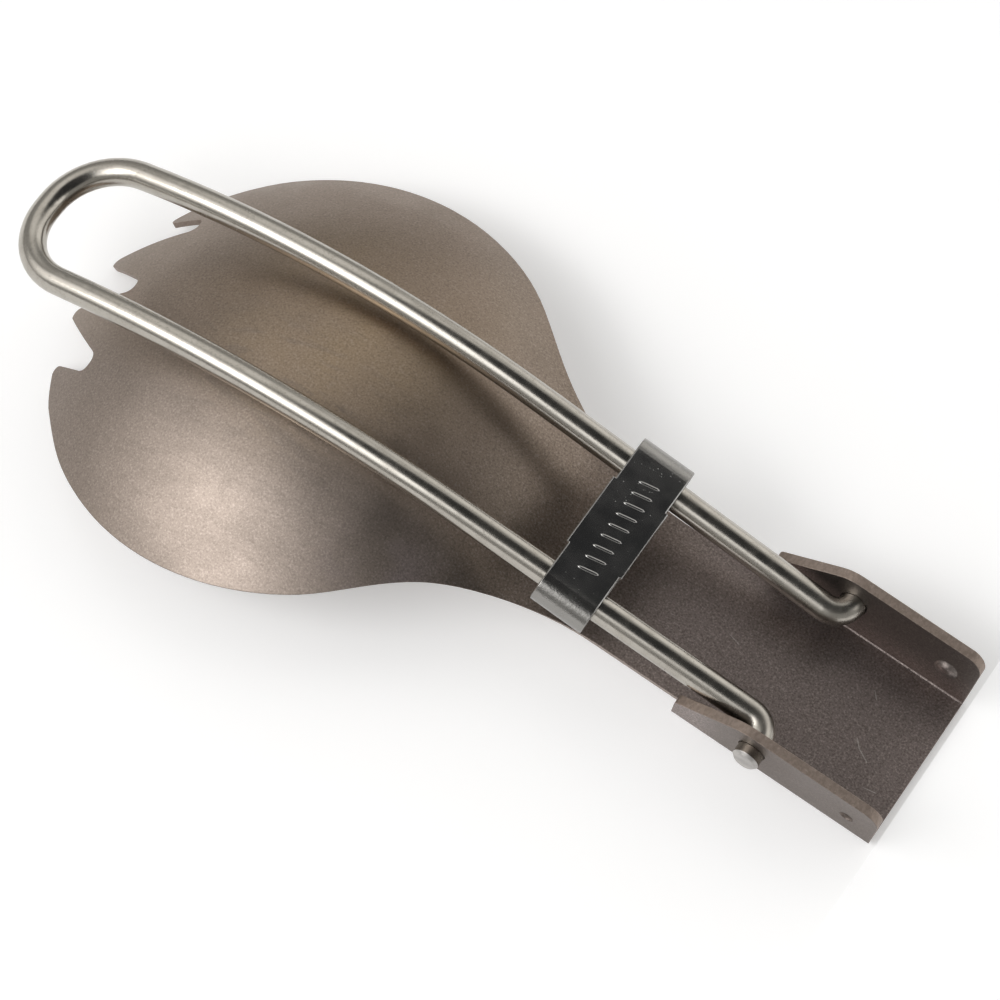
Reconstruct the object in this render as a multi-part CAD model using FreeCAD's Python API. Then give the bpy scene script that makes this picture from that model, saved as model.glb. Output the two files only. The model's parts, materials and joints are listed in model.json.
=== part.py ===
"""Folding camp shovel: pressed sheet blade, bent wire handle, sliding clip.

Working frame, in mm: the hinge axis is the line x = 0, z = HINGE_Z, along Y.
-X runs to the teeth, +X to the heel, and z = 0 is the underside of the heel.
At the end everything tips back as one to lie on the teeth and the heel's edge,
and moves so that the origin is the bottom centre of the box.
"""
import FreeCAD, Part
import math
import os

os.makedirs("parts", exist_ok=True)
V = FreeCAD.Vector

# ---- blade sheet -----------------------------------------------------------
SHEET = 1.1              # sheet thickness
DOME_R = 42.0            # outside radius of the spherical head
DOME = V(-50.5, 0, -35.2)  # centre of that sphere
DOME_LIMIT = 37.0        # beyond this distance from its axis the dome runs straight
BLEND = 2.5              # softness of the step from neck to dome
FLOOR_END = -34.0        # the neck floor starts to fall away here
FLOOR_FALL = 0.03        # how fast it falls away under the dome
TOOTH_SHEET = 0.6        # the sheet is thinner at the teeth
THIN_START = -66.0       # it thins from here
THIN_END = -80.0         # to here

HEAD_X = -61.3           # plan centre of the round head
HEAD_R = 26.2            # plan radius of the round head at its sides
HEAD_TIP_R = 25.6        # and towards the teeth
NECK_HALF = 8.4          # half width of the neck
SHOULDER_R = 33.0        # concave radius between head and neck
NECK_END = -9.2          # where the neck meets the ears

# ---- teeth, plan positions on the +Y side ----------------------------------
TOOTH_OUTER_ANGLE = 156.6  # around the rim from +X
NOTCH_SIDE = [(-80.9, 11.25), (-80.8, 9.2)]
TOOTH_INNER = (-87.4, 3.6)
NOTCH_MID = [(-82.1, 0.85)]
TIP_ROUND = 0.8
NOTCH_ROUND = 1.1

# ---- heel and ears ---------------------------------------------------------
HEEL_END = 14.9
HEEL_WIDTH = 20.0        # across the outside of the bends
BEND_OUT = 1.4           # outside bend radius
EAR_FLARE = 6.8          # degrees the ears lean outwards
EAR_TOP = 8.95
EAR_FRONT_TOP = 4.3      # height of the ear's front end
EAR_FULL_X = -1.7        # the taper reaches full height here
HINGE_Z = 5.45
HOLE_R = 1.59
DIMPLE_X = 11.6
DIMPLE_Z = 4.8
BUMP_R = 1.35
BUMP_RISE = 0.34
HOLLOW_BALL_R = 0.85
HOLLOW_DEPTH = 0.65

# ---- wire handle -----------------------------------------------------------
WIRE_R = 1.5
PIN_END_Y = 12.0
PIN_CHAMFER = 0.3
LEG_HINGE_Y = 7.15       # half spacing of the legs at the hinge
LEG_MID_Y = 7.8          # half spacing where the arch begins
LEG_LOOP_Y = 7.7         # half spacing at the loop
HINGE_BEND_R = 2.2
LEG_RISE = 4.2           # degrees the straight legs rise towards the head
ARCH_START_X = -38.0     # the straight part of each leg ends here
LOOP_START_X = -87.0     # the legs turn into the loop here
LOOP_START_Z = -0.3
LOOP_R = 7.2

# ---- sliding clip ----------------------------------------------------------
CLIP_X = -24.0
CLIP_LENGTH = 6.3        # along the legs
CLIP_SHEET = 0.6
CLIP_PLAY = 0.12         # over and under the wire
CLIP_HALF = 10.8         # half of its overall width
CLIP_STEP_HALF = 4.4     # half width of the wider middle of its top
CLIP_STEP_OUT = 0.28
CLIP_SEAM = 0.16
CLIP_EDGE = 0.1          # bevel on the outside edges


def polar(radius, degrees):
    """Cosine and sine of an angle, times a radius."""
    angle = math.radians(degrees)
    return radius * math.cos(angle), radius * math.sin(angle)


def rounded(points, radii):
    """Edges of the open polyline through points, with arcs in its inner corners."""
    edges = []
    start = points[0]
    for before, corner, after, radius in zip(points, points[1:], points[2:], radii):
        back = (before - corner).normalize()
        ahead = (after - corner).normalize()
        half = back.getAngle(ahead) / 2
        reach = radius / math.tan(half)
        middle = (back + ahead).normalize() * (radius / math.sin(half) - radius)
        first = corner + back * reach
        last = corner + ahead * reach
        if (first - start).Length > 1e-6:
            edges.append(Part.makeLine(start, first))
        edges.append(Part.Arc(first, corner + middle, last).toShape())
        start = last
    edges.append(Part.makeLine(start, points[-1]))
    return edges


def mirrored(edges):
    """The same edges on the other side of the plane y = 0."""
    return [edge.mirror(V(0, 0, 0), V(0, 1, 0)) for edge in edges]


def closed_wire(edges):
    """One closed wire from edges in any order."""
    return Part.Wire(Part.__sortEdges__(edges))


def clean_solid(shape):
    """The single solid in a boolean result, facing outwards."""
    solid = max(shape.Solids, key=lambda each: abs(each.Volume))
    if solid.Volume < 0:
        solid.reverse()
    return solid


# ---- blade: the pressed head and neck ---------------------------------------

def dome_height(x, y):
    """Height of the dome's outside."""
    radius = math.hypot(x - DOME.x, y)
    inside = min(radius, DOME_LIMIT)
    fall = math.sqrt(DOME_R ** 2 - inside ** 2)
    return DOME.z + fall - (radius - inside) * inside / fall


def height(x, y):
    """Height of the blade's outside: dome and neck floor, softly joined."""
    floor = SHEET - FLOOR_FALL * max(0.0, FLOOR_END - x) ** 2
    dome = dome_height(x, y)
    overlap = max(BLEND - abs(floor - dome), 0.0)
    return max(floor, dome) + overlap ** 2 / (4 * BLEND)


def skin_point(x, y, depth):
    """A point on the blade's outside, or depth below it along the normal."""
    step = 0.01
    slope_x = (height(x + step, y) - height(x - step, y)) / (2 * step)
    slope_y = (height(x, y + step) - height(x, y - step)) / (2 * step)
    normal = V(-slope_x, -slope_y, 1).normalize()
    return V(x, y, height(x, y)) - normal * depth


def thickness(x):
    """Thickness of the head's sheet, less towards the teeth."""
    share = min(max((THIN_START - x) / (THIN_START - THIN_END), 0.0), 1.0)
    return SHEET + (TOOTH_SHEET - SHEET) * share ** 2 * (3 - 2 * share)


def skin(depth):
    """Smooth surface of the neck and head: depth 0 is outside, 1 is inside the sheet."""
    rows = [NECK_END - 3.0 * i for i in range(29)]
    columns = [-31.5 + 3.5 * j for j in range(19)]
    poles = [[skin_point(x, y, depth * thickness(x)) for y in columns] for x in rows]
    surface = Part.BSplineSurface()
    knots = [len(rows) - 2, len(columns) - 2]
    inner_u = [1] * (knots[0] - 2)
    inner_v = [1] * (knots[1] - 2)
    surface.buildFromPolesMultsKnots(
        poles,
        [4] + inner_u + [4],
        [4] + inner_v + [4],
        list(range(knots[0])),
        list(range(knots[1])),
        False, False, 3, 3)
    return surface


def thick_skin():
    """The uncut sheet between its two surfaces."""
    outside = skin(0)
    inside = skin(1)
    u0, u1, v0, v1 = outside.bounds()
    faces = [outside.toShape(), inside.toShape()]
    for u in (u0, u1):
        faces.append(Part.makeRuledSurface(outside.uIso(u).toShape(), inside.uIso(u).toShape()))
    for v in (v0, v1):
        faces.append(Part.makeRuledSurface(outside.vIso(v).toShape(), inside.vIso(v).toShape()))
    shell = Part.Shell(faces)
    shell.sewShape()
    return clean_solid(Part.Compound([Part.Solid(shell)]))


def flat(x, y):
    """Where the ray from the dome's centre through a plan position meets z = 0."""
    stretch = -DOME.z / (height(x, y) - DOME.z)
    return V(DOME.x + (x - DOME.x) * stretch, y * stretch, 0)


def rim_point(degrees):
    """A point on the rim of the round head, cast like flat()."""
    dx, dy = polar(HEAD_R, degrees)
    if dx < 0:
        dx *= HEAD_TIP_R / HEAD_R
    return flat(HEAD_X + dx, dy)


def tooth_corners():
    """Tips and notch corners of the +Y teeth, cast like flat()."""
    tips = [rim_point(TOOTH_OUTER_ANGLE), flat(*TOOTH_INNER)]
    notches = [flat(*point) for point in NOTCH_SIDE + NOTCH_MID]
    return tips, notches


def plan_outline():
    """Closed outline of head and neck, as cast from the dome's centre onto z = 0."""
    shoulder_y = NECK_HALF + SHOULDER_R
    shoulder_x = HEAD_X + math.sqrt((HEAD_R + SHOULDER_R) ** 2 - shoulder_y ** 2)
    tangent = math.degrees(math.atan2(shoulder_y, shoulder_x - HEAD_X))
    rim = []
    for i in range(5):
        dx, dy = polar(SHOULDER_R, -90 - (90 - tangent) * i / 4)
        rim.append(flat(shoulder_x + dx, shoulder_y + dy))
    tips, notches = tooth_corners()
    last_angle = TOOTH_OUTER_ANGLE - 4
    for i in range(1, 11):
        rim.append(rim_point(tangent + (last_angle - tangent) * i / 10))
    curve = Part.BSplineCurve()
    curve.interpolate(
        Points=rim,
        InitialTangent=V(-1, 0, 0),
        FinalTangent=(tips[0] - rim[-1]).normalize())
    corners = [rim[-1], tips[0], notches[0], notches[1], tips[1], notches[2]]
    neck_corner = V(NECK_END + 2, rim[0].y, 0)
    edges = [Part.makeLine(neck_corner, rim[0]), curve.toShape()]
    for start, end in zip(corners, corners[1:]):
        edges.append(Part.makeLine(start, end))
    edges += mirrored(edges)
    edges.append(Part.makeLine(corners[-1], V(corners[-1].x, -corners[-1].y, 0)))
    other_corner = V(neck_corner.x, -neck_corner.y, 0)
    edges.append(Part.makeLine(other_corner, neck_corner))
    return closed_wire(edges)


def round_corners(body, corners, radius):
    """Rounds the edges through the sheet that are cast onto corners, on both sides."""
    chosen = []
    for edge in body.Edges:
        ray = edge.CenterOfMass - DOME
        cast = DOME + ray * (-DOME.z / ray.z)
        for corner in corners:
            off = V(cast.x - corner.x, abs(cast.y) - corner.y, 0)
            if off.Length < 0.02 and edge.Length < 2 * SHEET:
                chosen.append(edge)
    return clean_solid(body.makeFillet(radius, chosen))


def head_and_neck():
    """The sheet trimmed square to its own surface, ending at the ears."""
    outline = plan_outline()
    low = outline.copy()
    low.scale(0.36, DOME)
    high = outline.copy()
    high.scale(1.42, DOME)
    trim = Part.makeLoft([low, high], True, True)
    sheet = thick_skin().common(trim)
    beyond = Part.makeBox(20, 80, 80, V(NECK_END, -40, -40))
    body = clean_solid(sheet.cut(beyond))
    tips, notches = tooth_corners()
    body = round_corners(body, notches, NOTCH_ROUND)
    return round_corners(body, tips, TIP_ROUND)


# ---- blade: heel and ears ----------------------------------------------------

def channel():
    """Heel floor with both ears folded up from it, before the ears are shaped."""
    lean_y, lean_z = polar(1.0, 90 - EAR_FLARE)
    up = V(0, lean_y, lean_z)
    out = V(0, lean_z, -lean_y)
    centre = V(NECK_END, HEEL_WIDTH / 2 - BEND_OUT, BEND_OUT)
    diagonal_y, diagonal_z = polar(1.0, -45 - EAR_FLARE / 2)
    diagonal = V(0, diagonal_y, diagonal_z)
    down = V(0, 0, -1)
    inner = BEND_OUT - SHEET
    rise = 9.0
    outer_arc = Part.Arc(centre + down * BEND_OUT, centre + diagonal * BEND_OUT, centre + out * BEND_OUT)
    inner_arc = Part.Arc(centre + down * inner, centre + diagonal * inner, centre + out * inner)
    outer_top = centre + out * BEND_OUT + up * rise
    inner_top = centre + out * inner + up * rise
    middle_low = V(NECK_END, 0, 0)
    middle_high = V(NECK_END, 0, SHEET)
    half = [
        Part.makeLine(middle_low, centre + down * BEND_OUT),
        outer_arc.toShape(),
        Part.makeLine(centre + out * BEND_OUT, outer_top),
        Part.makeLine(outer_top, inner_top),
        Part.makeLine(inner_top, centre + out * inner),
        inner_arc.toShape(),
        Part.makeLine(centre + down * inner, middle_high),
    ]
    section = Part.Face(closed_wire(half + mirrored(half)))
    return section.extrude(V(HEEL_END - NECK_END, 0, 0))


def ear_side():
    """Side shape of the ears, as a prism along Y."""
    corners = [
        V(NECK_END, -30, -1),
        V(NECK_END, -30, EAR_FRONT_TOP),
        V(EAR_FULL_X, -30, EAR_TOP),
        V(HEEL_END, -30, EAR_TOP),
        V(HEEL_END, -30, -1),
    ]
    edges = rounded(corners, [0.6, 4.5, 2.0])
    edges.append(Part.makeLine(corners[-1], corners[0]))
    return Part.Face(closed_wire(edges)).extrude(V(0, 60, 0))


def ear_frame(depth):
    """A point on the ear's inner face at the dimple, moved outwards, and the outward normal."""
    lean_y, lean_z = polar(1.0, 90 - EAR_FLARE)
    out = V(0, lean_z, -lean_y)
    bend = V(0, HEEL_WIDTH / 2 - BEND_OUT, BEND_OUT)
    base = bend + out * (BEND_OUT - SHEET)
    along = (DIMPLE_Z - base.z) / lean_z
    point = base + V(0, lean_y, lean_z) * along
    return V(DIMPLE_X, point.y, point.z) + out * depth, out


def dimple_bump():
    """The shallow bump that the punch raises on the inside of the +Y ear."""
    ball_r = (BUMP_R ** 2 + BUMP_RISE ** 2) / (2 * BUMP_RISE)
    centre, out = ear_frame(ball_r - BUMP_RISE)
    start, out = ear_frame(-1.0)
    plug = Part.makeCylinder(BUMP_R + 0.02, 1.0 + SHEET / 2, start, out)
    return Part.makeSphere(ball_r, centre).common(plug)


def dimple_hollow():
    """The punched hollow in the outside of the +Y ear."""
    centre, out = ear_frame(SHEET + HOLLOW_BALL_R - HOLLOW_DEPTH)
    return Part.makeSphere(HOLLOW_BALL_R, centre)


def both_sides(solid):
    """A solid and its mirror image."""
    return [solid, solid.mirror(V(0, 0, 0), V(0, 1, 0))]


def blade():
    """One sheet: head, neck, heel floor, ears, pin holes and dimples."""
    heel = channel().common(ear_side())
    body = head_and_neck().fuse(heel)
    for bump in both_sides(dimple_bump()):
        body = body.fuse(bump)
    for hollow in both_sides(dimple_hollow()):
        body = body.cut(hollow)
    relief = Part.makeCylinder(0.45, 4, V(NECK_END, NECK_HALF + 0.3, -1))
    for slot in both_sides(relief):
        body = body.cut(slot)
    hole = Part.makeCylinder(HOLE_R, 40, V(0, -20, HINGE_Z), V(0, 1, 0))
    return clean_solid(body.cut(hole))


# ---- wire handle ---------------------------------------------------------------

def leg_height(x):
    """Centreline height of the straight part of a leg."""
    return HINGE_Z - x * math.tan(math.radians(LEG_RISE))


def tangent_arc(start, direction, end):
    """The arc that leaves start along direction and reaches end, and its last direction."""
    chord = end - start
    across = (end - start).normalize()
    turn = direction.getAngle(across)
    side = (direction - across * direction.dot(across)).normalize()
    middle = start + chord / 2 + side * (chord.Length / 2 * math.tan(turn / 2))
    leaving = across * (2 * math.cos(turn)) - direction
    return Part.Arc(start, middle, end).toShape(), leaving


def leg_path():
    """Centreline of the +Y half of the wire, from its pin end to the middle of the loop."""
    pin = V(0, PIN_END_Y, HINGE_Z)
    hinge = V(0, LEG_HINGE_Y, HINGE_Z)
    start = V(ARCH_START_X, LEG_MID_Y, leg_height(ARCH_START_X))
    end = V(LOOP_START_X, LEG_LOOP_Y, LOOP_START_Z)
    edges = rounded([pin, hinge, start], [HINGE_BEND_R])
    arch, leaving = tangent_arc(start, (start - hinge).normalize(), end)
    edges.append(arch)
    corner = end + leaving * LOOP_R
    middle = V(corner.x, 0, corner.z)
    edges += rounded([end, corner, middle], [LOOP_R])
    return edges


def handle_wire():
    """The whole handle: one wire swept along its centreline."""
    half = leg_path()
    path = closed_wire(half + mirrored(half))
    ring = Part.makeCircle(WIRE_R, V(0, PIN_END_Y, HINGE_Z), V(0, 1, 0))
    body = path.makePipeShell([Part.Wire(ring)], True, False)
    ends = []
    for edge in body.Edges:
        if abs(abs(edge.CenterOfMass.y) - PIN_END_Y) < 1e-4:
            ends.append(edge)
    return clean_solid(body.makeChamfer(PIN_CHAMFER, ends))


# ---- sliding clip ----------------------------------------------------------------

def stadium(half_width, half_height, length):
    """A prism with round ends, centred on the origin, its length along X."""
    span = half_width - half_height
    corners = [V(0, span, half_height), V(0, -span, half_height)]
    left = Part.Arc(corners[1], V(0, -half_width, 0), V(0, -span, -half_height))
    right = Part.Arc(V(0, span, -half_height), V(0, half_width, 0), corners[0])
    edges = [
        Part.makeLine(corners[0], corners[1]),
        left.toShape(),
        Part.makeLine(V(0, -span, -half_height), V(0, span, -half_height)),
        right.toShape(),
    ]
    prism = Part.Face(closed_wire(edges)).extrude(V(length, 0, 0))
    prism.translate(V(-length / 2, 0, 0))
    return prism


def slide_clip():
    """The folded band, butt-jointed underneath, set square to the legs."""
    inner_high = WIRE_R + CLIP_PLAY
    outer_high = inner_high + CLIP_SHEET
    body = stadium(CLIP_HALF, outer_high, CLIP_LENGTH)
    step_length = CLIP_LENGTH + 2 * CLIP_STEP_OUT
    wide_top = Part.makeBox(
        step_length,
        2 * CLIP_STEP_HALF,
        CLIP_SHEET,
        V(-step_length / 2, -CLIP_STEP_HALF, inner_high))
    body = body.fuse(wide_top)
    outside = []
    for edge in body.Edges:
        at_end = abs(abs(edge.CenterOfMass.x) - CLIP_LENGTH / 2) < 1e-4
        at_step = abs(abs(edge.CenterOfMass.x) - step_length / 2) < 1e-4
        on_top = edge.CenterOfMass.z > outer_high - 1e-4
        if (at_end or at_step) and on_top and edge.Length > 1:
            outside.append(edge)
    body = body.makeChamfer(CLIP_EDGE, outside)
    body = body.cut(stadium(CLIP_HALF - CLIP_SHEET, inner_high, CLIP_LENGTH + 4))
    seam = Part.makeBox(20, CLIP_SEAM, 2, V(-10, -CLIP_SEAM / 2, -outer_high - 0.5))
    body = clean_solid(body.cut(seam))
    body.rotate(V(0, 0, 0), V(0, 1, 0), LEG_RISE)
    body.translate(V(CLIP_X, 0, leg_height(CLIP_X)))
    return body


# ---- assembly ----------------------------------------------------------------------

pieces = {
    "blade": blade(),
    "handle_wire": handle_wire(),
    "slide_clip": slide_clip(),
}

blade_points, triangles = pieces["blade"].tessellate(0.02)
lie = 0.0
for point in blade_points:
    if point.x < HEAD_X:
        lie = max(lie, math.degrees(math.atan2(-point.z, HEEL_END - point.x)))
lie = round(lie, 3)

corners_x = []
corners_z = []
for piece in pieces.values():
    piece.rotate(V(HEEL_END, 0, 0), V(0, 1, 0), lie)
    points, triangles = piece.tessellate(0.02)
    corners_x += [point.x for point in points]
    corners_z += [point.z for point in points]
move_x = round(-(min(corners_x) + max(corners_x)) / 2, 3)
move_z = round(-min(corners_z), 3)
print("tipped and moved by", lie, move_x, move_z)

for name, piece in pieces.items():
    piece.translate(V(move_x, 0, move_z))
    box = piece.BoundBox
    print(name, piece.ShapeType, piece.isValid(), len(piece.Faces), round(piece.Volume, 1),
          [round(n, 2) for n in (box.XMin, box.XMax, box.YMin, box.YMax, box.ZMin, box.ZMax)])
    piece.exportStep(os.path.join("parts", name + ".step"))
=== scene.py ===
"""Looks for the folding camp shovel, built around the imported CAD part."""

import json
import math

import bmesh
import bpy
from mathutils import Matrix, Vector


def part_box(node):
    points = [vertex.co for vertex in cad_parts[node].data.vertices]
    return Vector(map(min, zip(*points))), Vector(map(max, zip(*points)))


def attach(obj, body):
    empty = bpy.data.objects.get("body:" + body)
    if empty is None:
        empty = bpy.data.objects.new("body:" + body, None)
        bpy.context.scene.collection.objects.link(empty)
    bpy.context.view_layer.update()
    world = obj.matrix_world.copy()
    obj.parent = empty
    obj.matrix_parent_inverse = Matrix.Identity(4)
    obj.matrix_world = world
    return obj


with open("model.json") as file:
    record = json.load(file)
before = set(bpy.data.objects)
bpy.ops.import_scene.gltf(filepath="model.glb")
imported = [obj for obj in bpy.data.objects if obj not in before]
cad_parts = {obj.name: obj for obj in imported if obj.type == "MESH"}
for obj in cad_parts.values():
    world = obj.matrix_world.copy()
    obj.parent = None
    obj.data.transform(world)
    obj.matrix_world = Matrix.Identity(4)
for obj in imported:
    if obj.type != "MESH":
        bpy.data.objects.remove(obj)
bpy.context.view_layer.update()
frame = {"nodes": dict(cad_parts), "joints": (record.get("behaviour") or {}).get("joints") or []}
joints = {joint["name"]: joint for joint in frame["joints"]}

MM = 0.001

# The part is designed with its heel level: in that design frame, in mm, the hinge axis is
# at x = 0 and z = HINGE_Z, and the heel's underside at z = 0. It lies tilted about the hinge.
HINGE = Vector(joints["handle_fold"]["pos_m"])
HINGE_Z = 5.45
HEEL_TILT = math.radians(8.3)
TILTED = Matrix.Rotation(HEEL_TILT, 3, "Y")
LEVELLED = Matrix.Rotation(-HEEL_TILT, 3, "Y")

HEAD_START = -34.0       # the neck floor ends and the head begins
NECK_START = -9.5        # the ears end and the neck begins
BEND_TOP = 2.2           # height where the bends end and the ears are flat
HOLE_REACH = 2.2         # half the square that holds a hinge hole
DIMPLE_X, DIMPLE_Y, DIMPLE_Z = 11.6, 9.31, 4.8  # crown of an ear's dimple
DIMPLE_REACH = 1.8       # half the square that holds a dimple
EAR_FLARE = math.radians(6.8)  # how far the ears lean outwards
PIN_END_Y = 11.65        # beyond this from the middle plane the wire's ends are cropped


def at_rest(x, y, z):
    """A point of the design frame, in mm, as it lies in the scene, in metres."""
    return HINGE + TILTED @ (Vector((x, y, z - HINGE_Z)) * MM)


def in_design(point):
    """The other way round: a point in the scene, in metres, in the design frame, in mm."""
    return LEVELLED @ (point - HINGE) / MM + Vector((0, 0, HINGE_Z))


DOME_CENTRE = at_rest(-50.5, 0.0, -35.2)  # centre of the head's sphere


# ---- node helpers ------------------------------------------------------------------

class Shader:
    """One material's node tree, with short calls for the nodes used here."""

    def __init__(self, name, metallic, roughness):
        self.material = bpy.data.materials.new(name)
        self.material.use_nodes = True
        self.tree = self.material.node_tree
        self.nodes = self.tree.nodes
        self.surface = self.nodes["Principled BSDF"]
        self.surface.inputs["Metallic"].default_value = metallic
        self.surface.inputs["Roughness"].default_value = roughness
        self.place = self.nodes.new("ShaderNodeTexCoord").outputs["Object"]

    def link(self, source, target):
        self.tree.links.new(source, target)

    def feed(self, socket, value):
        """Links a socket to a node's output, or sets it to a number or a colour."""
        if isinstance(value, bpy.types.NodeSocket):
            self.link(value, socket)
        elif isinstance(value, tuple):
            socket.default_value = (*value, 1)
        else:
            socket.default_value = value

    def vector_math(self, operation, a, b):
        node = self.nodes.new("ShaderNodeVectorMath")
        node.operation = operation
        self.link(a, node.inputs[0])
        if isinstance(b, bpy.types.NodeSocket):
            self.link(b, node.inputs[1])
        else:
            node.inputs[1].default_value = b
        return node.outputs

    def stretched(self, x, y, z):
        """Object coordinates times one factor per axis."""
        return self.vector_math("MULTIPLY", self.place, (x, y, z))["Vector"]

    def noise(self, scale, detail=2.0, rough=0.5, distort=0.0, place=None):
        node = self.nodes.new("ShaderNodeTexNoise")
        self.link(place or self.place, node.inputs["Vector"])
        node.inputs["Scale"].default_value = scale
        node.inputs["Detail"].default_value = detail
        node.inputs["Roughness"].default_value = rough
        node.inputs["Distortion"].default_value = distort
        return node.outputs["Fac"]

    def cells(self, scale):
        """Distance from the middle of the nearest of many scattered cells."""
        node = self.nodes.new("ShaderNodeTexVoronoi")
        self.link(self.place, node.inputs["Vector"])
        node.inputs["Scale"].default_value = scale
        return node.outputs["Distance"]

    def math(self, operation, a, b=0.0, clamp=False):
        node = self.nodes.new("ShaderNodeMath")
        node.operation = operation
        node.use_clamp = clamp
        self.feed(node.inputs[0], a)
        self.feed(node.inputs[1], b)
        return node.outputs[0]

    def times(self, a, b):
        return self.math("MULTIPLY", a, b)

    def plus(self, a, b):
        return self.math("ADD", a, b)

    def minus(self, a, b):
        return self.math("SUBTRACT", a, b)

    def ramp(self, value, low, high, out_low=0.0, out_high=1.0):
        """Value from low..high to out_low..out_high, smooth and clamped."""
        node = self.nodes.new("ShaderNodeMapRange")
        node.interpolation_type = "SMOOTHSTEP"
        self.feed(node.inputs["Value"], value)
        node.inputs["From Min"].default_value = low
        node.inputs["From Max"].default_value = high
        node.inputs["To Min"].default_value = out_low
        node.inputs["To Max"].default_value = out_high
        return node.outputs["Result"]

    def blend(self, factor, a, b):
        """Colour a where factor is 0, b where it is 1."""
        node = self.nodes.new("ShaderNodeMix")
        node.data_type = "RGBA"
        self.feed(node.inputs["Factor"], factor)
        self.feed(node.inputs["A"], a)
        self.feed(node.inputs["B"], b)
        return node.outputs["Result"]

    def ball(self, centre, inner, outer):
        """1 within inner of a point, falling to 0 at outer from it."""
        away = self.vector_math("DISTANCE", self.place, centre)["Value"]
        return self.ramp(away, inner, outer, 1.0, 0.0)

    def axis(self, name):
        node = self.nodes.new("ShaderNodeSeparateXYZ")
        self.link(self.place, node.inputs[0])
        return node.outputs[name]

    def scratch(self, start, end, width):
        """1 on a fine straight line from start to end."""
        span = end - start
        away = self.vector_math("SUBTRACT", self.place, start)["Vector"]
        along = self.vector_math("DOT_PRODUCT", away, span / span.length_squared)["Value"]
        foot = self.nodes.new("ShaderNodeVectorMath")
        foot.operation = "SCALE"
        foot.inputs[0].default_value = span
        self.link(self.math("ADD", along, clamp=True), foot.inputs["Scale"])
        gap = self.vector_math("DISTANCE", away, foot.outputs["Vector"])["Value"]
        return self.ramp(gap, width * 0.3, width, 1.0, 0.0)

    def bevel(self, radius):
        node = self.nodes.new("ShaderNodeBevel")
        node.samples = 6
        node.inputs["Radius"].default_value = radius
        return node.outputs["Normal"]

    def bump(self, height, distance, strength, normal):
        node = self.nodes.new("ShaderNodeBump")
        node.inputs["Distance"].default_value = distance
        node.inputs["Strength"].default_value = strength
        self.link(height, node.inputs["Height"])
        self.link(normal, node.inputs["Normal"])
        return node.outputs["Normal"]

    def finish(self, colour, roughness, normal):
        self.feed(self.surface.inputs["Base Color"], colour)
        self.feed(self.surface.inputs["Roughness"], roughness)
        self.link(normal, self.surface.inputs["Normal"])
        return self.material


# ---- titanium ----------------------------------------------------------------------

# handling scratches as the blade lies: start, end and width, in mm
SCRATCHES = [
    ((47.5, -1.0, 2.1), (48.2, -1.8, 2.0), 0.09),
    ((48.2, -1.8, 2.0), (49.6, -2.6, 1.8), 0.09),
    ((46.2, 4.6, 2.3), (46.9, 3.8, 2.2), 0.08),
    ((30.0, 1.0, 4.7), (32.2, 0.4, 4.3), 0.06),
    ((50.5, -5.2, 1.7), (52.1, -4.9, 1.4), 0.07),
    ((-24.0, -11.8, 13.0), (-23.2, -13.6, 12.7), 0.12),
    ((-22.6, -12.8, 12.9), (-22.1, -13.9, 12.7), 0.09),
]


def scratch_marks(s, breaks):
    """1 on the handling scratches, broken up by a noise."""
    marks = None
    for start, end, width in SCRATCHES:
        line = s.scratch(Vector(start) * MM, Vector(end) * MM, width * MM)
        marks = line if marks is None else s.math("MAXIMUM", marks, line)
    return s.times(marks, s.ramp(breaks, 0.3, 0.6, 0.25, 0.8))


def cloudy_tint(s, clouds, patches):
    """Warm grey clouds, greyer on the near side and heel, gold on the head, violet beside it."""
    pale, deep = (0.298, 0.238, 0.193), (0.276, 0.225, 0.182)
    near_side, heel = (0.266, 0.222, 0.190), (0.262, 0.220, 0.207)
    gold, violet = (0.312, 0.238, 0.160), (0.240, 0.205, 0.235)
    colour = s.blend(s.ramp(clouds, 0.35, 0.68), pale, deep)
    colour = s.blend(s.ramp(s.axis("Y"), -3 * MM, -12 * MM), colour, near_side)
    colour = s.blend(s.ramp(s.axis("X"), 6 * MM, 28 * MM), colour, heel)
    head = s.ball(Vector((-18, 4, 16)) * MM, 2 * MM, 21 * MM)
    colour = s.blend(s.times(head, s.ramp(clouds, 0.3, 0.6, 0.45, 1.0)), colour, gold)
    shoulder = s.ball(Vector((0, -17, 10)) * MM, 1 * MM, 10 * MM)
    return s.blend(s.times(shoulder, s.ramp(patches, 0.4, 0.65, 0.0, 0.35)), colour, violet)


def wipe_streaks(s, colour):
    """Darker streaks along the near side of the head, as a cloth leaves."""
    streaks = s.noise(1.0, detail=4.0, rough=0.62, distort=1.2, place=s.stretched(110.0, 520.0, 300.0))
    area = s.ball(Vector((-20, -14, 13)) * MM, 8 * MM, 22 * MM)
    wiped = s.times(s.ramp(streaks, 0.46, 0.62), area)
    return s.blend(s.times(wiped, 0.55), colour, (0.225, 0.188, 0.160))


def speckle(s, colour, grit, heelwards):
    """Dark and light blasted specks, stronger towards the heel."""
    dark = s.times(s.ramp(grit, 0.34, 0.48, 0.55, 0.0), s.ramp(heelwards, 0, 1, 0.6, 1.0))
    light = s.times(s.ramp(grit, 0.54, 0.68, 0.0, 0.55), s.ramp(heelwards, 0, 1, 0.5, 1.0))
    colour = s.blend(dark, colour, (0.120, 0.096, 0.082))
    return s.blend(light, colour, (0.500, 0.430, 0.385))


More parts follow.
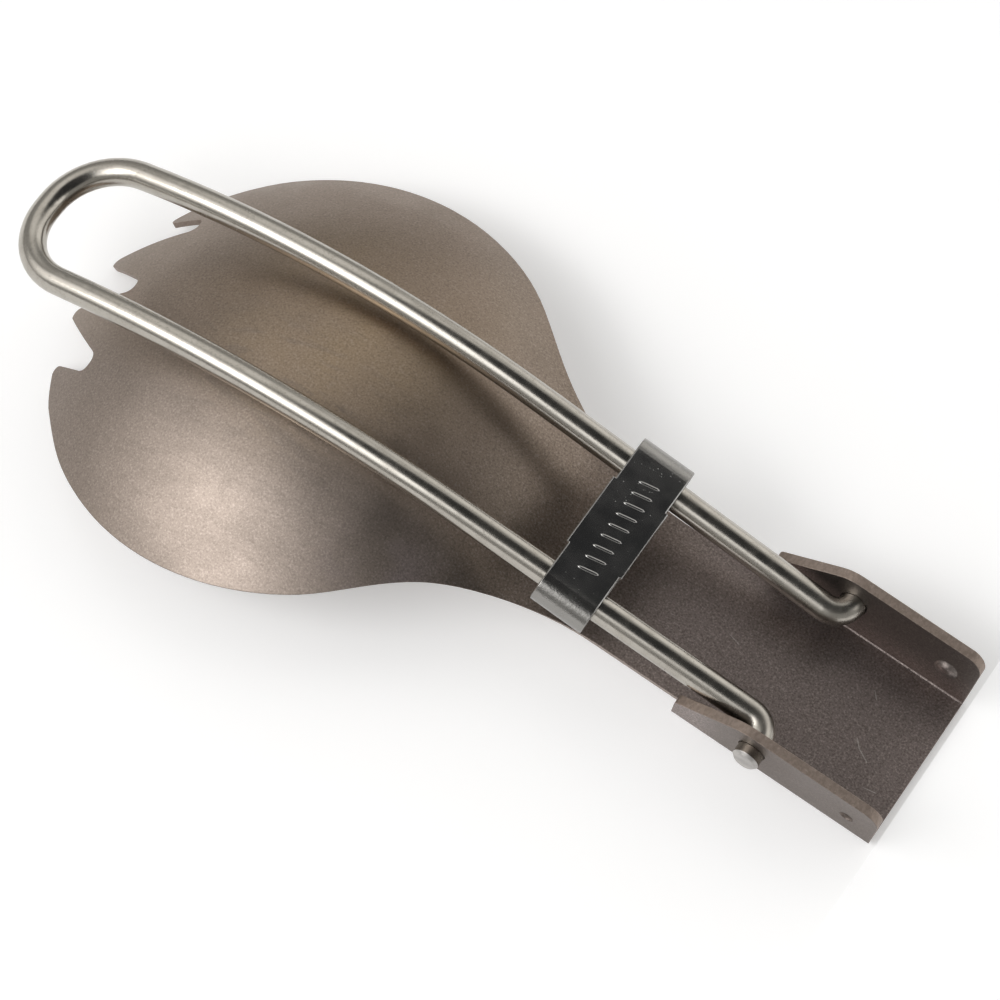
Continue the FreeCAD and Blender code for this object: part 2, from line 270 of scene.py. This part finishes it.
def painted_ear_shade(s, colour):
    """Painted shade on the ears: browner and darker than the rest, darkest on the inner faces."""
    breadth = s.math("ABSOLUTE", s.axis("Y"))
    ears = s.times(s.ramp(breadth, 8.7 * MM, 9.5 * MM), s.ramp(s.axis("X"), 33 * MM, 37 * MM))
    upright = s.minus(breadth, s.times(s.axis("Z"), math.tan(EAR_FLARE)))
    outside = s.ramp(upright, 8.9 * MM, 9.3 * MM)
    # painted shade: the outer faces of the ears darker, the inner faces darker still
    painted_shade = s.blend(outside, (0.104, 0.096, 0.087), (0.131, 0.109, 0.093))
    return s.blend(s.times(ears, 0.70), colour, painted_shade)


def titanium():
    """Bead-blasted titanium sheet: cloudy tints, fine speckle, a few handling scratches, and painted
    shade on the ears.
    """
    s = Shader("titanium_blasted", 1.0, 0.45)
    clouds = s.noise(55.0, detail=3.0, rough=0.55, distort=0.4)
    patches = s.noise(160.0, detail=2.0, rough=0.5)
    grit = s.noise(4600.0, detail=2.0, rough=0.6)
    fine = s.noise(9000.0, detail=1.0, rough=0.5)
    heelwards = s.ramp(s.axis("X"), -10 * MM, 20 * MM)
    marks = scratch_marks(s, fine)

    colour = cloudy_tint(s, clouds, patches)
    colour = wipe_streaks(s, colour)
    colour = speckle(s, colour, grit, heelwards)
    # painted shade on the ears
    colour = painted_ear_shade(s, colour)
    colour = s.blend(marks, colour, (0.62, 0.58, 0.54))

    roughness = s.ramp(patches, 0.3, 0.7, 0.40, 0.47)
    roughness = s.minus(roughness, s.times(marks, 0.12))

    relief = s.plus(grit, s.times(fine, 0.5))
    relief = s.times(relief, s.ramp(heelwards, 0, 1, 0.8, 1.4))
    relief = s.minus(relief, marks)
    for side in (-1, 1):
        crown = s.ball(at_rest(DIMPLE_X, side * DIMPLE_Y, DIMPLE_Z), 0.4 * MM, 1.35 * MM)
        relief = s.plus(relief, s.times(crown, 42.0))
    return s.finish(colour, roughness, s.bump(relief, 0.018 * MM, 0.6, s.bevel(0.12 * MM)))


def titanium_edge():
    """The sheet's sheared edges: paler and coarser, with shear lines across the sheet."""
    s = Shader("titanium_sheared", 1.0, 0.5)
    grit = s.noise(2600.0, detail=3.0, rough=0.65)
    shear = s.noise(3000.0, detail=2.0, rough=0.5, place=s.stretched(1.0, 0.6, 0.6))
    colour = s.blend(s.ramp(shear, 0.35, 0.65), (0.275, 0.222, 0.188), (0.330, 0.270, 0.232))
    colour = s.blend(s.ramp(grit, 0.56, 0.70, 0.0, 0.4), colour, (0.50, 0.43, 0.38))
    roughness = s.ramp(grit, 0.3, 0.7, 0.46, 0.60)
    relief = s.plus(grit, shear)
    return s.finish(colour, roughness, s.bump(relief, 0.03 * MM, 0.6, s.bevel(0.12 * MM)))


# ---- stainless steel -----------------------------------------------------------------

# shallow marks of the bending tool round the handle's loop as it lies, in mm
TOOL_MARKS = [
    (-41.5, 7.7, 16.8),
    (-42.7, -7.7, 16.6),
    (-44.8, 7.8, 15.7),
    (-45.9, -7.2, 15.9),
]


def drawn_wire():
    """Polished stainless wire: draw lines along the legs, small pits and rub marks."""
    s = Shader("stainless_wire", 1.0, 0.2)
    lines = s.noise(1.0, detail=3.0, rough=0.6, place=s.stretched(35.0, 5200.0, 5200.0))
    peel = s.noise(1500.0, detail=2.0, rough=0.5)
    rubs = s.noise(420.0, detail=3.0, rough=0.6)
    grain = s.noise(4200.0, detail=2.0, rough=0.6)
    pits = s.ramp(s.cells(1300.0), 0.06, 0.14, 1.0, 0.0)
    pits = s.times(pits, s.ramp(rubs, 0.56, 0.66))
    hinge_bends = s.ball(Vector((42.5, 0, 7.5)) * MM, 8.5 * MM, 12.5 * MM)

    colour = s.blend(s.ramp(rubs, 0.4, 0.7), (0.455, 0.430, 0.385), (0.410, 0.385, 0.342))
    colour = s.blend(s.times(pits, 0.6), colour, (0.15, 0.14, 0.12))
    colour = s.blend(s.ramp(grain, 0.30, 0.44, 0.35, 0.0), colour, (0.24, 0.22, 0.19))

    roughness = s.ramp(rubs, 0.3, 0.75, 0.19, 0.28)
    roughness = s.plus(roughness, s.times(pits, 0.2))
    roughness = s.plus(roughness, s.times(hinge_bends, 0.06))

    relief = s.plus(s.times(lines, 0.6), s.times(peel, 0.6))
    relief = s.plus(relief, s.times(grain, 0.7))
    relief = s.minus(relief, s.times(pits, 2.0))
    for mark in TOOL_MARKS:
        dent = s.ball(Vector(mark) * MM, 0.1 * MM, 0.9 * MM)
        relief = s.minus(relief, s.times(dent, 5.0))
    return s.finish(colour, roughness, s.bump(relief, 0.007 * MM, 0.5, s.bevel(0.08 * MM)))


def wire_end():
    """The wire's two cropped ends: flat, matt and grey."""
    s = Shader("stainless_cropped", 1.0, 0.42)
    grit = s.noise(3000.0, detail=3.0, rough=0.65)
    shear = s.noise(900.0, detail=2.0, rough=0.5, place=s.stretched(0.3, 1.0, 1.6))
    colour = s.blend(s.ramp(shear, 0.35, 0.65), (0.42, 0.405, 0.39), (0.52, 0.50, 0.48))
    roughness = s.ramp(grit, 0.3, 0.7, 0.36, 0.5)
    relief = s.plus(grit, shear)
    return s.finish(colour, roughness, s.bump(relief, 0.02 * MM, 0.5, s.bevel(0.15 * MM)))


def clip_strip():
    """Polished stainless strip: mirror flats with specks, grainier where it is bent."""
    s = Shader("stainless_strip", 1.0, 0.12)
    cloud = s.noise(300.0, detail=3.0, rough=0.6)
    specks = s.ramp(s.cells(2100.0), 0.05, 0.13, 1.0, 0.0)
    specks = s.times(specks, s.ramp(cloud, 0.52, 0.62))
    grain = s.noise(3200.0, detail=2.0, rough=0.6)
    hair = s.noise(1.0, detail=2.0, rough=0.6, place=s.stretched(5200.0, 60.0, 5200.0))
    bent = s.ramp(s.math("ABSOLUTE", s.axis("Y")), 7.8 * MM, 9.2 * MM)

    colour = s.blend(s.ramp(cloud, 0.35, 0.7), (0.450, 0.446, 0.434), (0.400, 0.396, 0.384))
    colour = s.blend(s.times(bent, 0.85), colour, (0.265, 0.256, 0.240))
    colour = s.blend(s.times(specks, 0.7), colour, (0.85, 0.85, 0.84))

    roughness = s.ramp(cloud, 0.3, 0.7, 0.10, 0.17)
    roughness = s.plus(roughness, s.times(bent, 0.12))

    relief = s.plus(s.times(hair, 0.25), s.times(specks, 1.2))
    relief = s.plus(relief, s.times(s.times(grain, bent), 3.0))
    return s.finish(colour, roughness, s.bump(relief, 0.01 * MM, 0.6, s.bevel(0.10 * MM)))


# ---- the CAD nodes' finishes ---------------------------------------------------------

def is_sheared(centre, normal):
    """True for a face of the blade made by cutting the sheet."""
    here = in_design(centre)
    facing = LEVELLED @ normal
    if here.x < HEAD_START:
        outwards = (centre - DOME_CENTRE).normalized()
        return abs(outwards.dot(normal)) < 0.45
    if here.x < NECK_START:
        return abs(facing.z) < 0.5
    if abs(here.x) < HOLE_REACH and abs(here.z - HINGE_Z) < HOLE_REACH:
        return abs(facing.y) < 0.5
    if abs(here.x - DIMPLE_X) < DIMPLE_REACH and abs(here.z - DIMPLE_Z) < DIMPLE_REACH:
        return False
    if here.z > BEND_TOP:
        return abs(facing.y) < 0.6
    return abs(facing.x) > 0.8


def is_cropped(centre, normal):
    """True for a face on one of the wire's two flat ends."""
    return abs(centre.y) > PIN_END_Y * MM and abs(normal.y) > 0.5


def paint(node, finish, other=None, is_other=None):
    """Gives a CAD node one finish, and a second one to the faces that a test picks."""
    mesh = frame["nodes"][node].data
    mesh.materials.clear()
    mesh.materials.append(finish)
    if other is None:
        return
    mesh.materials.append(other)
    for face in mesh.polygons:
        face.material_index = int(is_other(face.center, face.normal))


# ---- raised strokes on the clip ------------------------------------------------------

CLIP_TOP = 2.22 * MM             # from the clip's middle plane to its top face
STROKES = 9
STROKE_PITCH = 1.45 * MM
STROKE_LEAN = math.radians(12)
STROKE_LENGTH = 2.4 * MM
STROKE_WIDTH = 0.34 * MM
STROKE_HEIGHT = 0.09 * MM
STROKE_SUNK = 0.04 * MM          # its rim sits this far inside the clip
STROKE_STEPS = 10                # facets along a stroke
STROKE_SIDES = 6                 # and across it


def stroke(mesh, middle, along, across, up):
    """A low rounded ridge with tapered ends, added to a bmesh."""
    rings = []
    for i in range(STROKE_STEPS + 1):
        t = i / STROKE_STEPS * 2 - 1
        swell = max(1 - abs(t) ** 6, 0.02) ** 0.5
        spine = middle + along * (t * STROKE_LENGTH / 2)
        ring = []
        for j in range(STROKE_SIDES + 1):
            a = math.pi * j / STROKE_SIDES
            offset = across * (math.cos(a) * STROKE_WIDTH / 2 * swell)
            lift = up * (math.sin(a) * STROKE_HEIGHT * swell - STROKE_SUNK)
            ring.append(mesh.verts.new(spine + offset + lift))
        rings.append(ring)
    for ring, after in zip(rings, rings[1:]):
        for j in range(STROKE_SIDES):
            mesh.faces.new((ring[j], ring[j + 1], after[j + 1], after[j]))
    mesh.faces.new(list(reversed(rings[0])))
    mesh.faces.new(rings[-1])


def clip_strokes(finish):
    """A row of slanted strokes across the clip's top, in place of a stamped word."""
    along = Vector(joints["clip_slide"]["axis"]).normalized()
    across = Vector((0, 1, 0))
    up = along.cross(across)
    low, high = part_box("slide_clip")
    top = (low + high) / 2 + up * CLIP_TOP
    slant = along * math.cos(STROKE_LEAN) + across * math.sin(STROKE_LEAN)
    ridges = bmesh.new()
    for i in range(STROKES):
        middle = top + across * ((i - (STROKES - 1) / 2) * STROKE_PITCH)
        stroke(ridges, middle, slant, up.cross(slant).normalized(), up)
    bmesh.ops.recalc_face_normals(ridges, faces=ridges.faces)
    mesh = bpy.data.meshes.new("clip_strokes")
    ridges.to_mesh(mesh)
    ridges.free()
    for face in mesh.polygons:
        face.use_smooth = True
    mesh.materials.append(finish)
    strokes = bpy.data.objects.new("clip_strokes", mesh)
    bpy.context.scene.collection.objects.link(strokes)
    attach(strokes, "clip")


# ---- floor ---------------------------------------------------------------------------

FLOOR_HALF = 1.6                 # half the floor's side
FLOOR_GAP = 0.05 * MM            # keeps it just clear of the shovel
FLOOR_GREY = (0.80, 0.80, 0.80, 1)
FLOOR_GLOW = 0.31                # keeps the level parts of the floor near white
FALL_GLOW = 0.43                 # makes up for the fall turning away from the lights
FALL_LEAD = 0.3 * MM             # the fall starts this far inside the heel's end
FALL_SLOPE = 0.49                # how steeply the floor falls away behind the heel
FALL_DEPTH = 14.0 * MM           # and how far, so the unfolded handle hangs clear of it
GLOW_EDGE = 0.1 * MM             # how sharply the glow changes


def floor():
    """A wide pale sheet just under the shovel, falling away behind the heel.

    The handle unfolds to below the heel's level, so a flat floor would hide it.
    The fall glows a little more than the rest, which keeps the sheet one even tone.
    """
    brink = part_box("blade")[1].x - FALL_LEAD
    foot = brink + FALL_DEPTH / FALL_SLOPE
    profile = [(-FLOOR_HALF, 0.0), (brink, 0.0), (foot, -FALL_DEPTH), (FLOOR_HALF, -FALL_DEPTH)]
    points = [(x, y, z) for x, z in profile for y in (-FLOOR_HALF, FLOOR_HALF)]
    panels = [(i, i + 2, i + 3, i + 1) for i in (0, 2, 4)]
    mesh = bpy.data.meshes.new("floor")
    mesh.from_pydata(points, [], panels)
    sheet = bpy.data.objects.new("floor", mesh)
    sheet.location.z = -FLOOR_GAP
    bpy.context.scene.collection.objects.link(sheet)

    s = Shader("pale_floor", 0.0, 0.9)
    s.surface.inputs["Base Color"].default_value = FLOOR_GREY
    s.surface.inputs["Specular IOR Level"].default_value = 0.0
    s.surface.inputs["Emission Color"].default_value = (1, 1, 1, 1)
    falling = s.times(s.ramp(s.axis("X"), brink - GLOW_EDGE, brink),
                      s.ramp(s.axis("X"), foot, foot + GLOW_EDGE, 1.0, 0.0))
    glow = s.ramp(falling, 0.0, 1.0, FLOOR_GLOW, FALL_GLOW)
    s.link(glow, s.surface.inputs["Emission Strength"])
    mesh.materials.append(s.material)


# ---- light and camera ----------------------------------------------------------------

STUDIO_GREY = (0.36, 0.355, 0.345, 1)

# studio glows and shades: azimuth, elevation, full inside and gone outside (degrees), colour
GLOWS = [
    (126, 56, 6, 33, (1.05, 1.03, 1.00)),
    (78, 20, 8, 30, (1.20, 1.18, 1.15)),
    (32, 28, 8, 30, (1.35, 1.33, 1.30)),
    (-154, 38, 10, 34, (1.62, 1.60, 1.58)),
    (-112, 48, 12, 31, (2.42, 2.42, 2.44)),
    (-5, 70, 28, 39, (0.035, 0.036, 0.037)),
]

KEY_HEADING = (-128, 44)         # azimuth and elevation
KEY_DISTANCE = 0.9
KEY_SIZE = (0.50, 0.26)
KEY_WATTS = 2.0
KEY_COLOUR = (1.0, 0.99, 0.98)

CAMERA_TARGET = Vector((1.052, 12.477, 10.777)) * MM
CAMERA_HEADING = (-60.458, 60.854)  # from the target, azimuth and elevation
CAMERA_DISTANCE = 542.18 * MM
CAMERA_ROLL = math.radians(3.677)
CAMERA_LENS = 187.68
CAMERA_SHIFT = (-0.0495, -0.1191)


def heading(azimuth, elevation):
    """Unit vector towards an azimuth (from +X) and elevation in degrees."""
    a, e = math.radians(azimuth), math.radians(elevation)
    return Vector((math.cos(a) * math.cos(e), math.sin(a) * math.cos(e), math.sin(e)))


def surroundings():
    """The studio round the shovel: even pale grey with soft glows and one shaded side."""
    world = bpy.data.worlds.new("studio")
    world.use_nodes = True
    bpy.context.scene.world = world
    nodes, links = world.node_tree.nodes, world.node_tree.links
    direction = nodes.new("ShaderNodeTexCoord").outputs["Generated"]
    colour = nodes.new("ShaderNodeRGB").outputs[0]
    colour.default_value = STUDIO_GREY
    for azimuth, elevation, inner, outer, tone in GLOWS:
        facing = nodes.new("ShaderNodeVectorMath")
        facing.operation = "DOT_PRODUCT"
        links.new(direction, facing.inputs[0])
        facing.inputs[1].default_value = heading(azimuth, elevation)
        soft = nodes.new("ShaderNodeMapRange")
        soft.interpolation_type = "SMOOTHSTEP"
        links.new(facing.outputs["Value"], soft.inputs["Value"])
        soft.inputs["From Min"].default_value = math.cos(math.radians(outer))
        soft.inputs["From Max"].default_value = math.cos(math.radians(inner))
        mix = nodes.new("ShaderNodeMix")
        mix.data_type = "RGBA"
        links.new(soft.outputs["Result"], mix.inputs["Factor"])
        links.new(colour, mix.inputs["A"])
        mix.inputs["B"].default_value = (*tone, 1)
        colour = mix.outputs["Result"]
    links.new(colour, nodes["Background"].inputs["Color"])


def key_light():
    """One rectangular soft light, facing the shovel."""
    light = bpy.data.lights.new("key_box", "AREA")
    light.shape = "RECTANGLE"
    light.size, light.size_y = KEY_SIZE
    light.energy = KEY_WATTS
    light.color = KEY_COLOUR
    lamp = bpy.data.objects.new("key_box", light)
    lamp.location = heading(*KEY_HEADING) * KEY_DISTANCE
    lamp.rotation_euler = (-lamp.location).to_track_quat("-Z", "Y").to_euler()
    bpy.context.scene.collection.objects.link(lamp)


def camera():
    """The camera at the photograph's viewing angle."""
    optics = bpy.data.cameras.new("photo_camera")
    optics.sensor_width = 36.0
    optics.lens = CAMERA_LENS
    optics.shift_x, optics.shift_y = CAMERA_SHIFT
    optics.clip_start = 0.01
    optics.clip_end = 10.0
    stand = bpy.data.objects.new("photo_camera", optics)
    outwards = heading(*CAMERA_HEADING)
    aim = (-outwards).to_track_quat("-Z", "Y").to_matrix()
    roll = Matrix.Rotation(CAMERA_ROLL, 3, "Z")
    place = CAMERA_TARGET + outwards * CAMERA_DISTANCE
    stand.matrix_world = Matrix.Translation(place) @ (aim @ roll).to_4x4()
    bpy.context.scene.collection.objects.link(stand)
    bpy.context.scene.camera = stand
    bpy.context.scene.view_settings.view_transform = "Standard"


# ---- the whole scene -----------------------------------------------------------------

paint("blade", titanium(), titanium_edge(), is_sheared)
paint("handle_wire", drawn_wire(), wire_end(), is_cropped)
clip_steel = clip_strip()
paint("slide_clip", clip_steel)
clip_strokes(clip_steel)
floor()
surroundings()
key_light()
camera()
